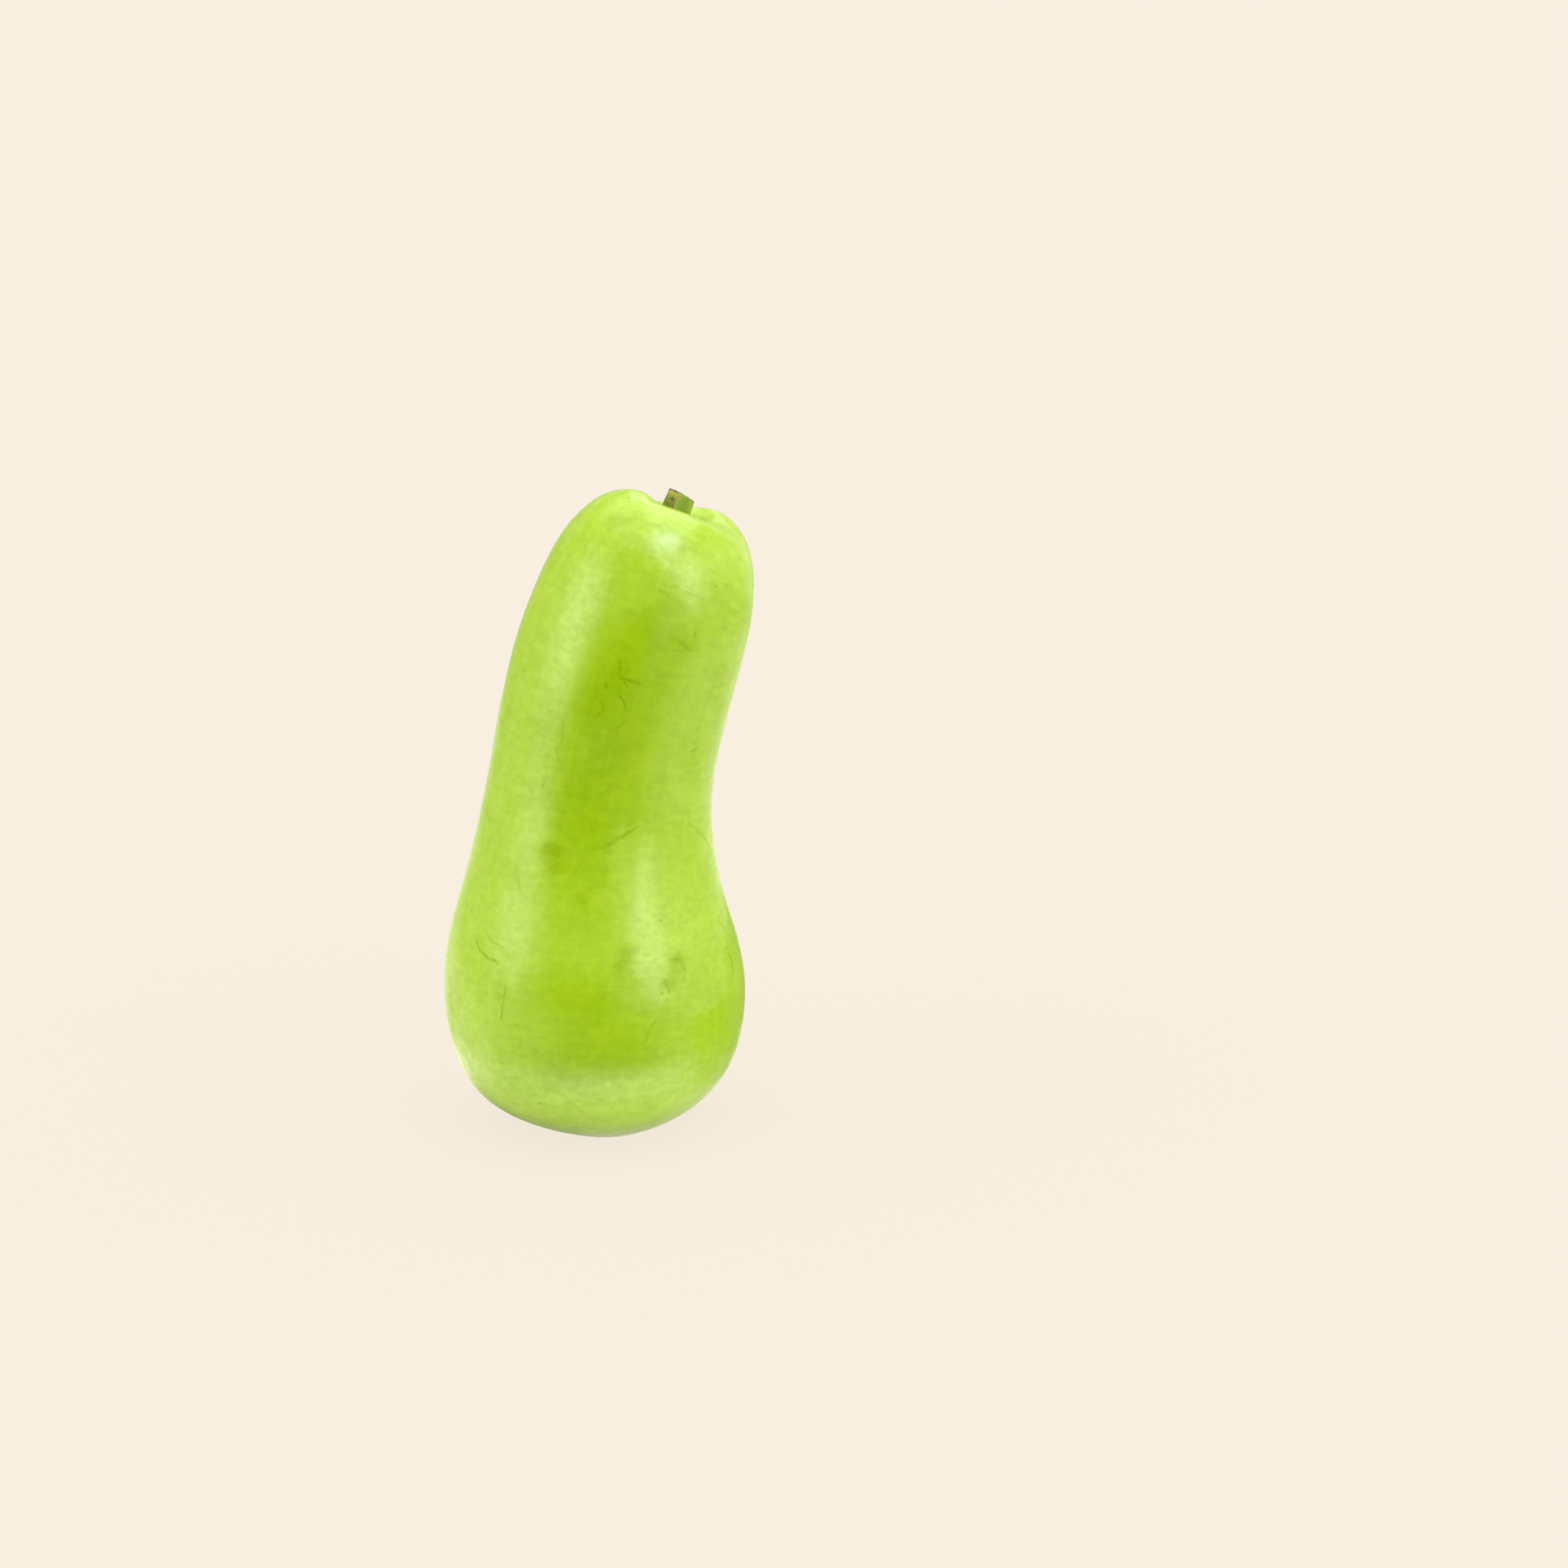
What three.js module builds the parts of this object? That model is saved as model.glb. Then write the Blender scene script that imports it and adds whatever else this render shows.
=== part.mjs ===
// A bottle gourd, picked, standing on its blossom end: the fruit and the stub of its stem.
// Millimetres, +Z up. The origin is the middle of the flat patch that the fruit stands on,
// and the neck leans towards +X.
import * as THREE from 'three';
import { mergeVertices } from 'three/addons/utils/BufferGeometryUtils.js';

// ---- Driving dimensions ----

// The fruit's outline, unbent, as radius and height. It runs from the edge of the resting patch,
// over the bulb, the waist, the neck and the crest round the stem, down into the pit.
const REST_PATCH_RADIUS = 20;
const FRUIT_OUTLINE = [
  [REST_PATCH_RADIUS, 0],
  [34.5, 6.5],
  [51, 20],
  [59.5, 40],
  [61, 60],
  [58, 80],
  [52.5, 100],
  [48, 120],
  [45, 142],
  [44.5, 165],
  [44.5, 188],
  [43.5, 208],
  [41, 226],
  [35.5, 240],
  [26.5, 249.5],
  [16, 252.5],
  [10.8, 251],
];
const PIT_RADIUS = 9.2;
const PIT_FLOOR = 246;

// Where the middle of the fruit lies at a few heights: height, then offsets along X and Y. The
// resting patch itself is level.
const LEVEL_BELOW = 0.01;
const CORE = [
  [0, 0, 0],
  [60, -4, 1],
  [110, -3.5, 0.5],
  [160, 2.5, 0.5],
  [210, 16.5, 1.5],
  [255, 33.5, 3],
];

// The soft lobes and dips round the stem: the way each one faces, in degrees from +X towards +Y,
// how far it stands up, half its width in degrees, and the height where it fades out down the
// shoulder. They also fade out over the wall of the pit.
const LOBES = [
  [178, 0.2, 32, 205],
  [130, -2, 28, 225],
  [60, 0.6, 25, 232],
  [36, 3, 30, 232],
  [-85, 1, 40, 215],
  [-158, 1.4, 20, 235],
];
const LOBES_FULL_FROM = 249;
const LOBES_FULL_RADIUS = 16;
const LOBE_BULGE = 0.5;

// The stem stub: five ribs, a flared foot and a cut that slants down towards +X and the back.
const STEM_OUTLINE = [
  [6.4, 0],
  [6, 2],
  [5.8, 5],
  [5.65, 8],
  [5.5, 12.2],
];
const STEM_RIBS = 5;
const STEM_RIB_FACING = -107;
const STEM_RIB_DEPTH = 0.35;
const STEM_CUT_SLANT = 0.14;
const STEM_CUT_BACK = 0.2;
const STEM_OFF_AXIS = -1.2;
const SEATING_GAP = 0.3;

// How finely the round shapes are divided.
const OUTLINE_STEPS = 44;
const FRUIT_SIDES = 64;
const STEM_STEPS = 6;
const STEM_SIDES = 40;

// ---- Helpers ----

const smoothStep = THREE.MathUtils.smoothstep;

// A closed lathed solid about Z. Its outline starts and ends on the axis, so the seam and the two
// poles are merged and the slivers that a pole leaves are dropped.
function latheAboutZ(outline, sides) {
  const lathe = new THREE.LatheGeometry(outline, sides);
  lathe.rotateX(Math.PI / 2);
  lathe.deleteAttribute('normal');
  lathe.deleteAttribute('uv');
  const merged = mergeVertices(lathe, 1e-3);
  const corners = merged.getIndex().array;
  const kept = [];
  for (let i = 0; i < corners.length; i += 3) {
    const [a, b, c] = corners.slice(i, i + 3);
    if (a !== b && b !== c && c !== a) {
      kept.push(a, b, c);
    }
  }
  merged.setIndex(kept);
  return merged;
}

// Moves every vertex of a geometry to where place(vertex) says.
function reshape(geometry, place) {
  const positions = geometry.getAttribute('position');
  const vertex = new THREE.Vector3();
  for (let i = 0; i < positions.count; i += 1) {
    vertex.fromBufferAttribute(positions, i);
    const placed = place(vertex);
    positions.setXYZ(i, placed.x, placed.y, placed.z);
  }
  geometry.computeVertexNormals();
  return geometry;
}

// A smooth curve through the stations, as points from the first station to the last.
function smoothOutline(stations, steps) {
  const points = stations.map(([radius, height]) => new THREE.Vector2(radius, height));
  return new THREE.SplineCurve(points).getPoints(steps);
}

// ---- The bent core ----

const coreOffset = new THREE.CubicInterpolant(
  CORE.map(([height]) => height),
  CORE.flatMap(([, x, y]) => [x, y]),
  2,
);
coreOffset.settings = {
  endingStart: THREE.ZeroSlopeEnding,
  endingEnd: THREE.ZeroCurvatureEnding,
};

function coreAt(height) {
  const [x, y] = coreOffset.evaluate(height);
  return new THREE.Vector3(x, y, height);
}

// The core's own directions at a height: along it, and the two across it.
function coreFrame(height) {
  const step = 0.1;
  const along = coreAt(height + step).sub(coreAt(height - step)).normalize();
  if (height < LEVEL_BELOW) {
    along.set(0, 0, 1);
  }
  const across = new THREE.Vector3(along.z, 0, -along.x).normalize();
  const away = new THREE.Vector3().crossVectors(along, across);
  return { along, across, away };
}

function lobeHeight(angleDegrees, height) {
  let raised = 0;
  for (const [facing, rise, halfWidth, fadeFrom] of LOBES) {
    const turn = THREE.MathUtils.euclideanModulo(angleDegrees - facing + 180, 360) - 180;
    raised += rise * Math.exp(-((turn / halfWidth) ** 2)) * smoothStep(height, fadeFrom, LOBES_FULL_FROM);
  }
  return raised;
}

// ---- Fruit ----

function makeFruit() {
  const outline = [
    new THREE.Vector2(0, 0),
    ...smoothOutline(FRUIT_OUTLINE, OUTLINE_STEPS),
    new THREE.Vector2(PIT_RADIUS, PIT_FLOOR),
    new THREE.Vector2(0, PIT_FLOOR),
  ];
  const geometry = reshape(latheAboutZ(outline, FRUIT_SIDES), (vertex) => {
    const radius = Math.hypot(vertex.x, vertex.y);
    const angle = Math.atan2(vertex.y, vertex.x);
    const raised = lobeHeight(THREE.MathUtils.radToDeg(angle), vertex.z)
      * smoothStep(radius, PIT_RADIUS, LOBES_FULL_RADIUS);
    const reach = radius + LOBE_BULGE * raised;
    const { along, across, away } = coreFrame(vertex.z);
    return coreAt(vertex.z)
      .addScaledVector(across, reach * Math.cos(angle))
      .addScaledVector(away, reach * Math.sin(angle))
      .addScaledVector(along, raised);
  });
  const skin = new THREE.MeshStandardMaterial({ color: 0xa5d22e, roughness: 0.35, metalness: 0 });
  const fruit = new THREE.Mesh(geometry, skin);
  fruit.name = 'fruit';
  return fruit;
}

// ---- Stem ----

function makeStem() {
  const outline = [
    new THREE.Vector2(0, 0),
    ...smoothOutline(STEM_OUTLINE, STEM_STEPS),
    new THREE.Vector2(0, STEM_OUTLINE.at(-1)[1]),
  ];
  const topRadius = STEM_OUTLINE.at(-1)[0];
  const fullHeight = STEM_OUTLINE.at(-1)[1];
  const geometry = reshape(latheAboutZ(outline, STEM_SIDES), (vertex) => {
    const radius = Math.hypot(vertex.x, vertex.y);
    const angle = Math.atan2(vertex.y, vertex.x);
    const turnFromRib = angle - THREE.MathUtils.degToRad(STEM_RIB_FACING);
    const rib = STEM_RIB_DEPTH * Math.cos(STEM_RIBS * turnFromRib) * radius / topRadius;
    const placed = new THREE.Vector3(1, 0, 0).applyAxisAngle(new THREE.Vector3(0, 0, 1), angle);
    placed.multiplyScalar(radius === 0 ? 0 : radius + rib);
    const fall = STEM_CUT_SLANT * placed.x + STEM_CUT_BACK * placed.y;
    placed.z = vertex.z * (1 - fall / fullHeight);
    return placed;
  });
  const bark = new THREE.MeshStandardMaterial({ color: 0x7d9a3c, roughness: 0.7, metalness: 0 });
  const stem = new THREE.Mesh(geometry, bark);
  const { along, across } = coreFrame(PIT_FLOOR);
  stem.position.copy(coreAt(PIT_FLOOR))
    .addScaledVector(along, SEATING_GAP)
    .addScaledVector(across, STEM_OFF_AXIS);
  stem.quaternion.setFromUnitVectors(new THREE.Vector3(0, 0, 1), along);
  stem.name = 'stem';
  return stem;
}

const bottleGourd = new THREE.Group();
bottleGourd.add(makeFruit(), makeStem());

export default bottleGourd;
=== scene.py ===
# %% [markdown]
# A bottle gourd, freshly picked, standing on its blossom end. The CAD model comes first and is
# loaded as a fixed frame: every piece made below is in metres in that same frame, with +Z up, the
# neck leaning towards +X and the middle of the resting patch at the origin.

# %% Load the frame
import functools
import math

import bmesh
import bpy
import numpy as np
from mathutils import Matrix, Vector, noise


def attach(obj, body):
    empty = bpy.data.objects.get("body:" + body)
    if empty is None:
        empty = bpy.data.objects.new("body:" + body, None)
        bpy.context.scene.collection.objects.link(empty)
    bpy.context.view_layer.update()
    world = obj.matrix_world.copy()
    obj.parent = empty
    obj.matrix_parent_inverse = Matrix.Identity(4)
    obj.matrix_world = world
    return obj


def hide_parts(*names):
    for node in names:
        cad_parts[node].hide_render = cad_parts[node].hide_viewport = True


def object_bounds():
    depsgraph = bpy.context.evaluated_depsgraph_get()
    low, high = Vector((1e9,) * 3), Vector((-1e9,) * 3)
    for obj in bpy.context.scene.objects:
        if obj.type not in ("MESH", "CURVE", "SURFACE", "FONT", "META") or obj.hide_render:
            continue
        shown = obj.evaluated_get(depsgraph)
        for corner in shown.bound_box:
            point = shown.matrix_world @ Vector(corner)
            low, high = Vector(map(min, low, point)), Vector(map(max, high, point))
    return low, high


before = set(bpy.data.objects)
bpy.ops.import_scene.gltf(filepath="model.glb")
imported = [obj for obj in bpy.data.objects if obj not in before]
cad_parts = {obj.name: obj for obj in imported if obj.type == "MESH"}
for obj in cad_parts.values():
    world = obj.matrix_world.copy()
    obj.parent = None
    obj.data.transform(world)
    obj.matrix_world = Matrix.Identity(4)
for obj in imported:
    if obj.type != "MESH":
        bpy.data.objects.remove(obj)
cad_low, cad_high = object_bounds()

MM = 0.001
print("CAD box in mm:", [round(side / MM, 1) for side in cad_high - cad_low])

# %% [markdown]
# The camera stands a little over a metre in front of the gourd and looks down on it by about
# thirteen degrees, through a short telephoto lens, as on a product table.

# %% Camera
CAMERA_PLACE = Vector((0.0731, -1.100, 0.404))
CAMERA_PITCH = math.radians(13.38)
LENS_MM = 64.85
SENSOR_MM = 36.0

camera_data = bpy.data.cameras.new("camera")
camera_data.lens = LENS_MM
camera_data.sensor_width = SENSOR_MM
camera = bpy.data.objects.new("camera", camera_data)
camera.location = CAMERA_PLACE
camera.rotation_euler = (math.pi / 2 - CAMERA_PITCH, 0, 0)
bpy.context.collection.objects.link(camera)
bpy.context.scene.camera = camera

# %% [markdown]
# Shader sums are written as Python expressions. A Signal is one socket of a node tree: adding,
# subtracting or multiplying Signals adds the Math nodes for it. Every other node comes from
# Graph.add, which takes the node's type, its settings and what goes into its sockets.


# %% Shader arithmetic
class Signal:
    """One output socket that takes part in arithmetic."""

    def __init__(self, graph, socket):
        self.graph = graph
        self.socket = socket

    def _math(self, operation, first, second):
        return self.graph.math(operation, first, second)

    def __add__(self, other):
        return self._math("ADD", self, other)

    def __sub__(self, other):
        return self._math("SUBTRACT", self, other)

    def __rsub__(self, other):
        return self._math("SUBTRACT", other, self)

    def __mul__(self, other):
        return self._math("MULTIPLY", self, other)

    __radd__ = __add__


class Graph:
    """The node tree of a material or of the world."""

    def __init__(self, owner):
        owner.use_nodes = True
        self.tree = owner.node_tree
        self.tree.nodes.clear()

    def add(self, kind, settings=None, inputs=None, output=0):
        node = self.tree.nodes.new(kind)
        for name, value in (settings or {}).items():
            setattr(node, name, value)
        for name, value in (inputs or {}).items():
            socket = node.inputs[name]
            if isinstance(value, Signal):
                self.tree.links.new(value.socket, socket)
            else:
                socket.default_value = value
        return Signal(self, node.outputs[output]) if node.outputs else None

    def math(self, operation, *values):
        return self.add("ShaderNodeMath", {"operation": operation}, dict(enumerate(values)))

    def clamped(self, value):
        return self.add("ShaderNodeClamp", {}, {"Value": value})

    def vector_math(self, operation, first, second, output=0):
        settings = {"operation": operation}
        return self.add("ShaderNodeVectorMath", settings, {0: first, 1: second}, output)

    def scaled(self, vector, factors):
        return self.vector_math("MULTIPLY", vector, factors)

    def shifted(self, vector, offset):
        return self.vector_math("ADD", vector, offset)

    def distance(self, vector, point):
        return self.vector_math("DISTANCE", vector, point, "Value")

    def ramp(self, value, low, high, to_low=0.0, to_high=1.0):
        """A soft step from to_low, where value is low, to to_high, where it is high."""
        inputs = {"Value": value, "From Min": low, "From Max": high}
        inputs |= {"To Min": to_low, "To Max": to_high}
        return self.add("ShaderNodeMapRange", {"interpolation_type": "SMOOTHSTEP"}, inputs)

    def noise(self, vector, scale, detail, roughness, output="Fac"):
        inputs = {"Vector": vector, "Scale": scale, "Detail": detail, "Roughness": roughness}
        return self.add("ShaderNodeTexNoise", {}, inputs, output)

    def swing(self, vector, scale, detail, roughness):
        """A noise that swings to both sides of zero."""
        return self.noise(vector, scale, detail, roughness) - 0.5

    def mix(self, factor, first, second):
        return self.add("ShaderNodeMix", {"data_type": "RGBA"}, {0: factor, 6: first, 7: second}, 2)

    def bump(self, height):
        """A normal for a height in millimetres."""
        inputs = {"Height": height, "Strength": 1.0, "Distance": MM}
        return self.add("ShaderNodeBump", {}, inputs, "Normal")


# %% Screen colours
def from_srgb(red, green, blue):
    """The linear colour of an 8-bit screen colour."""

    def linear(channel):
        share = channel / 255
        return share / 12.92 if share <= 0.04045 else ((share + 0.055) / 1.055) ** 2.4

    return (linear(red), linear(green), linear(blue), 1.0)


# %% [markdown]
# The studio is a plain cream floor that runs into a backdrop of the same cream. Far from the gourd
# the floor shows the backdrop's colour by itself, so no edge shows; close to the gourd a small part
# of its light comes from the studio, so it takes a faint contact shadow. A floor with one paint and
# real lamps would also work, but its edge and its glow on the gourd couldn't be set apart. So what
# the floor throws back onto the gourd is a glow of its own: bright beside the gourd, fainter under
# it, and faint in front, where a black flag keeps the camera's side dark. Close by, the shine of
# the skin sees a little more of it, which polishes the underside of the bulb.

# %% Floor
CREAM = from_srgb(248, 239, 224)
STUDIO_WHITE = tuple(channel / CREAM[2] for channel in CREAM[:3]) + (1.0,)
FLOOR_RADIUS = 1.4
SHADE_FADES = (0.18, 0.50)
LIT_SHARE = 0.10
FLOOR_PAINT = (0.40, 0.40, 0.40, 1.0)
GLOW_UNDER, GLOW_NEAR, GLOW_FAR = 0.62, 2.35, 1.83
GLOW_RISES, GLOW_FALLS = (0.034, 0.102), (0.3, 1.0)
GLEAM_UNDER, GLEAM_NEAR = 0.12, 0.60
GLEAM_RISES, GLEAM_FALLS = (0.03, 0.06), (0.08, 0.16)
NO_START, NO_END = (-0.1, 0.0), (9.0, 9.1)
# Each flag shades the floor in a sector, around the azimuth that it faces: in full up to so many
# degrees away, not at all from so many on, and only between two distances, in metres.
FLOOR_FLAGS = [
    {"facing": 10, "full": 10, "gone": 86, "from": (0.068, 0.128), "to": NO_END, "share": 0.86},
    {"facing": 167, "full": 47, "gone": 117, "from": (0.06, 0.11), "to": NO_END, "share": 0.52},
    {"facing": -80, "full": 30, "gone": 80, "from": NO_START, "to": NO_END, "share": 0.35},
    {"facing": 103, "full": 17, "gone": 61, "from": (0.035, 0.076), "to": (0.25, 0.45),
     "share": 0.75},
    {"facing": 78, "full": 22, "gone": 55, "from": (0.5, 0.8), "to": (1.2, 1.6), "share": 0.2},
    {"facing": -120, "full": 35, "gone": 80, "from": (0.02, 0.045), "to": (0.06, 0.11),
     "share": 0.5},
]

bpy.context.scene.view_settings.view_transform = "Standard"


def staged(shape, name):
    """Makes a bmesh, in metres, a piece of the studio."""
    mesh = bpy.data.meshes.new(name)
    shape.to_mesh(mesh)
    shape.free()
    piece = bpy.data.objects.new(name, mesh)
    bpy.context.collection.objects.link(piece)
    return piece


def compass(graph, vector):
    """A vector's azimuth in degrees, counted from the front towards +X, and its upward part."""
    x, y, z = (graph.add("ShaderNodeSeparateXYZ", {}, {"Vector": vector}, axis) for axis in "XYZ")
    return graph.math("ARCTAN2", x, y * -1.0) * math.degrees(1), z


def away_from(graph, azimuth, facing):
    """How many degrees an azimuth is from a facing, either way round."""
    return graph.math("ABSOLUTE", graph.math("WRAP", azimuth - facing, -180.0, 180.0))


def flagged(graph, azimuth, flag):
    """The share of the light that a flag holds back at an azimuth."""
    turn = away_from(graph, azimuth, flag["facing"])
    return graph.ramp(turn, flag["full"], flag["gone"], flag["share"], 0.0)


disc = bmesh.new()
bmesh.ops.create_circle(disc, cap_ends=True, segments=96, radius=FLOOR_RADIUS)
floor = staged(disc, "floor")

floor_material = bpy.data.materials.new("cream_floor")
graph = Graph(floor_material)
place = graph.add("ShaderNodeTexCoord", output="Object")
reach = graph.distance(place, (0.0, 0.0, 0.0))
azimuth, _ = compass(graph, place)
lit = graph.ramp(reach, *SHADE_FADES, LIT_SHARE, 0.0)
matt = graph.add("ShaderNodeBsdfDiffuse", {}, {"Color": FLOOR_PAINT})
plain = graph.add("ShaderNodeEmission", {}, {"Color": CREAM})
shown = graph.add("ShaderNodeMixShader", {}, {0: lit, 1: plain, 2: matt})
glow = graph.ramp(reach, *GLOW_RISES, GLOW_UNDER, GLOW_NEAR)
glow = glow * graph.ramp(reach, *GLOW_FALLS, 1.0, GLOW_FAR / GLOW_NEAR)
for flag in FLOOR_FLAGS:
    shade = flagged(graph, azimuth, flag) * graph.ramp(reach, *flag["from"])
    glow = glow * (1.0 - shade * graph.ramp(reach, *flag["to"], 1.0, 0.0))
polished = graph.add("ShaderNodeLightPath", output="Is Glossy Ray")
gleam = graph.ramp(reach, *GLEAM_RISES, GLEAM_UNDER, GLEAM_NEAR)
gleam = gleam * graph.ramp(reach, *GLEAM_FALLS, 1.0, 0.0)
glow = glow * (polished * gleam + 1.0)
bounce = graph.add("ShaderNodeEmission", {}, {"Color": STUDIO_WHITE, "Strength": glow})
seen = graph.add("ShaderNodeLightPath", output="Is Camera Ray")
surface = graph.add("ShaderNodeMixShader", {}, {0: seen, 1: bounce, 2: shown})
graph.add("ShaderNodeOutputMaterial", {}, {"Surface": surface})
floor.data.materials.append(floor_material)
print("floor:", FLOOR_RADIUS, "m,", len(FLOOR_FLAGS), "flags")

# %% [markdown]
# A low grey card stands behind the bulb on the right, as beside glassware. Only the shine of the
# skin sees it: it ends the bright rim that the floor would otherwise draw down the whole bulb.
# Another flag on the floor couldn't do that, because the neck, higher up, reflects the same part of
# the floor.

# %% Grey card
CARD_FACING, CARD_REACH = math.radians(128), 0.14
CARD_SIZE = (0.11, 0.073)
CARD_RADIANCE = 0.38

upright, turned = Matrix.Rotation(math.pi / 2, 3, "X"), Matrix.Rotation(CARD_FACING, 3, "Z")
sheet = bmesh.new()
bmesh.ops.create_grid(sheet, x_segments=1, y_segments=1, size=0.5)
bmesh.ops.scale(sheet, vec=(*CARD_SIZE, 1.0), verts=sheet.verts)
bmesh.ops.rotate(sheet, cent=(0, 0, 0), matrix=upright, verts=sheet.verts)
bmesh.ops.translate(sheet, vec=(0, -CARD_REACH, CARD_SIZE[1] / 2), verts=sheet.verts)
bmesh.ops.rotate(sheet, cent=(0, 0, 0), matrix=turned, verts=sheet.verts)
card = staged(sheet, "grey_card")
card.visible_camera = False
card.visible_diffuse = False
card.visible_shadow = False
card_material = bpy.data.materials.new("grey_card")
graph = Graph(card_material)
surface = graph.add("ShaderNodeEmission", {}, {"Color": STUDIO_WHITE, "Strength": CARD_RADIANCE})
graph.add("ShaderNodeOutputMaterial", {}, {"Surface": surface})
card.data.materials.append(card_material)
print("grey card:", CARD_SIZE, "m")

# %% [markdown]
# The light is a bright room with a tall softbox on each side of the table. Each box is a patch of
# the world, described by the azimuths where it begins and ends, how soft each edge is and how far
# it slants with every degree of height. Black flags in front and behind keep the room out of the
# middle of the fruit. The panel and the spot on the ceiling are lamps that only polish the skin
# with their shine: their diffuse light is switched off, because the room already lights the top.
# A lamp needs LAMP_WATTS for every unit of radiance and every square metre.

# %% Studio light
ROOM_LOW, ROOM_MIDDLE, ROOM_HIGH = 1.15, 0.73, 2.30
ROOM_DIMS, ROOM_BRIGHTENS = (0, 40), (35, 65)
ROOM_FLAGS = [
    {"facing": 200, "full": 25, "gone": 50, "below": (8, 25), "share": 0.55},
    {"facing": -16, "full": 26, "gone": 44, "below": (-4, 23), "share": 1.0},
]
SOFTBOXES = {
    "left": {
        "radiance": 3.92, "from": (-78, 59, -0.72), "to": (-48, 40, -0.07),
        "above": (-21, 19), "below": (16, 51),
    },
    "right": {
        "radiance": 2.3, "from": (37.5, 9, -1.0), "to": (62, 18, 0.3),
        "above": (-9, 1.5), "below": (14, 62),
    },
    "right_wide": {
        "radiance": 1.45, "from": (38, 24, -1.0), "to": (100, 70, 1.0),
        "above": (-20, 14), "below": (14, 62),
    },
}
SLANT_FROM = 10
SLANT_LOW, SLANT_HIGH = -25, 50
CEILING = 2.0
LAMP_WHITE = (1.0, 1.0, 1.0)
LAMP_WATTS = 4
CEILING_LAMPS = {
    "panel": {
        "shape": "RECTANGLE", "radiance": 1.35, "across": 0.39, "front": -0.3, "size": (0.75, 3.4),
    },
    "spot": {
        "shape": "DISK", "radiance": 12.0, "across": 0.345, "front": 0.535, "size": (0.55, 0.55),
    },
}

world = bpy.data.worlds.new("studio")
bpy.context.scene.world = world
graph = Graph(world)
direction = graph.add("ShaderNodeTexCoord", output="Generated")
azimuth, upwards = compass(graph, direction)
elevation = graph.math("ARCSINE", upwards) * math.degrees(1)
light = graph.ramp(elevation, *ROOM_DIMS, ROOM_LOW, ROOM_MIDDLE)
light = light + graph.ramp(elevation, *ROOM_BRIGHTENS, 0.0, ROOM_HIGH - ROOM_MIDDLE)
for flag in ROOM_FLAGS:
    shade = flagged(graph, azimuth, flag) * graph.ramp(elevation, *flag["below"], 1.0, 0.0)
    light = light * (1.0 - shade)
climb = graph.math("MINIMUM", elevation - SLANT_FROM, SLANT_HIGH)
climb = graph.math("MAXIMUM", climb, SLANT_LOW)
for box in SOFTBOXES.values():
    level = graph.ramp(elevation, *box["below"], box["radiance"], 0.0)
    level = level * graph.ramp(elevation, *box["above"])
    for edge, before, past in (("from", 0.0, 1.0), ("to", 1.0, 0.0)):
        turn, softness, slant = box[edge]
        begins, ends = turn - softness / 2, turn + softness / 2
        level = level * graph.ramp(azimuth - climb * slant, begins, ends, before, past)
    light = light + level
studio = graph.add("ShaderNodeBackground", {}, {"Color": STUDIO_WHITE, "Strength": light})
backdrop = graph.add("ShaderNodeBackground", {}, {"Color": CREAM, "Strength": 1.0})
seen = graph.add("ShaderNodeLightPath", output="Is Camera Ray")
surface = graph.add("ShaderNodeMixShader", {}, {0: seen, 1: studio, 2: backdrop})
graph.add("ShaderNodeOutputWorld", {}, {"Surface": surface})

for name, lamp in CEILING_LAMPS.items():
    light_data = bpy.data.lights.new(name, "AREA")
    light_data.shape = lamp["shape"]
    light_data.size, light_data.size_y = (side * CEILING for side in lamp["size"])
    light_data.color = LAMP_WHITE
    light_data.energy = LAMP_WATTS * lamp["radiance"] * light_data.size * light_data.size_y
    light_object = bpy.data.objects.new(name, light_data)
    across, front = lamp["across"] * CEILING, lamp["front"] * CEILING
    light_object.location = (across, -front, CEILING + cad_high[2])
    light_object.visible_camera = False
    light_object.visible_diffuse = False
    bpy.context.collection.objects.link(light_object)
print("softboxes:", ", ".join(SOFTBOXES), "ceiling:", ", ".join(CEILING_LAMPS))

# %% [markdown]
# The fruit is one smooth swollen body. Straight, it would be a shape of revolution, so its outline
# is spun round the Z axis and the spun body is then bent along its core. The outline is a cubic
# spline: a shiny skin shows every jump in curvature as a kink in its highlights, and this spline
# has none.


# %% A smooth curve through stations
def spline(knots, values, level_start=False):
    """A cubic spline through the values at the knots, with no jump in its curvature."""
    knots, values = np.array(knots, float), np.array(values, float)
    gap = np.diff(knots)
    rise = np.diff(values) / gap
    count = len(knots)
    system, answer = np.eye(count), np.zeros(count)
    for i in range(1, count - 1):
        system[i, i - 1 : i + 2] = gap[i - 1], 2 * (gap[i - 1] + gap[i]), gap[i]
        answer[i] = 6 * (rise[i] - rise[i - 1])
    if level_start:
        system[0, :2] = 2 * gap[0], gap[0]
        answer[0] = 6 * rise[0]
    bend = np.linalg.solve(system, answer)

    def value(at):
        i = int(np.clip(np.searchsorted(knots, at) - 1, 0, count - 2))
        left, right, width = at - knots[i], knots[i + 1] - at, gap[i]
        cubic = (bend[i] * right**3 + bend[i + 1] * left**3) / (6 * width)
        line = (values[i] / width - bend[i] * width / 6) * right
        return cubic + line + (values[i + 1] / width - bend[i + 1] * width / 6) * left

    return value


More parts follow.
